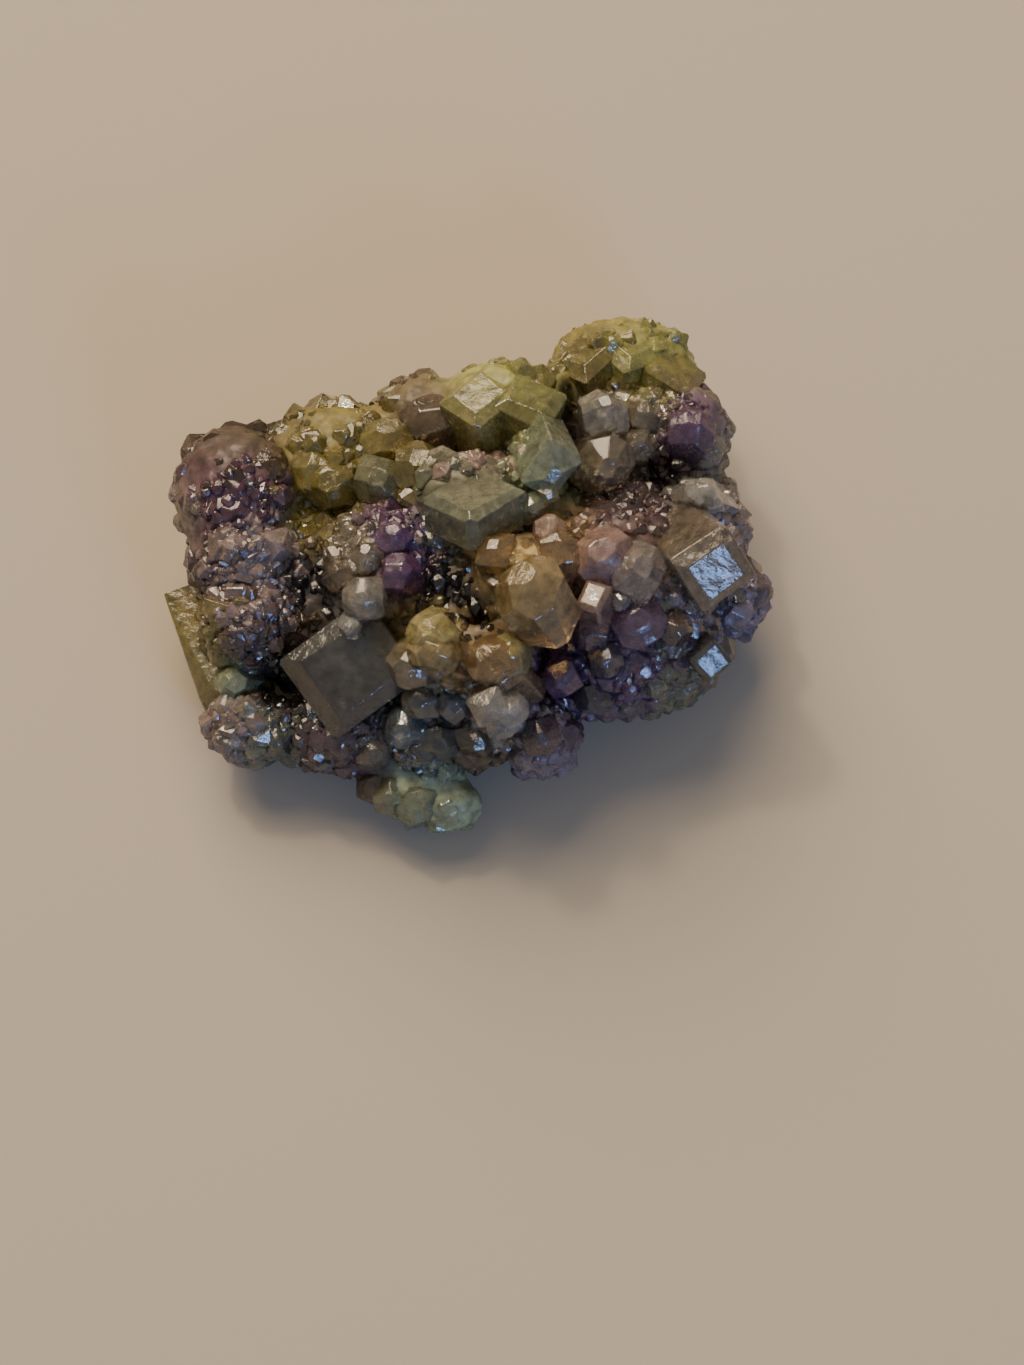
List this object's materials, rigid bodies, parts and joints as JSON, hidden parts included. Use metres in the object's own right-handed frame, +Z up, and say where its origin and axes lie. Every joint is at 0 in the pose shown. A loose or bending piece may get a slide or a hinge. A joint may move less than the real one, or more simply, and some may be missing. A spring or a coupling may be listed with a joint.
{
  "type": "vesuvianite specimen",
  "caption": "Loose vesuvianite cluster: glassy purple, olive-green and clear crystals grown together into one low, lumpy piece with a small flat foot.",
  "frame": {"origin": "middle of the box around the cluster, on the ground plane it rests on", "axes": "+X along the longest side, with the olive prism at -X and the pointed tip at +X; +Y toward the green domes at the back; +Z up, the way the specimen lies"},
  "size_m": [0.0309, 0.0264, 0.0144],
  "materials": {
    "vesuvianite": "glassy natural crystal faces, cloudy purple and olive green inside"
  },
  "bodies": {
    "root": {"vesuvianite_cluster": "vesuvianite"}
  },
  "joints": []
}
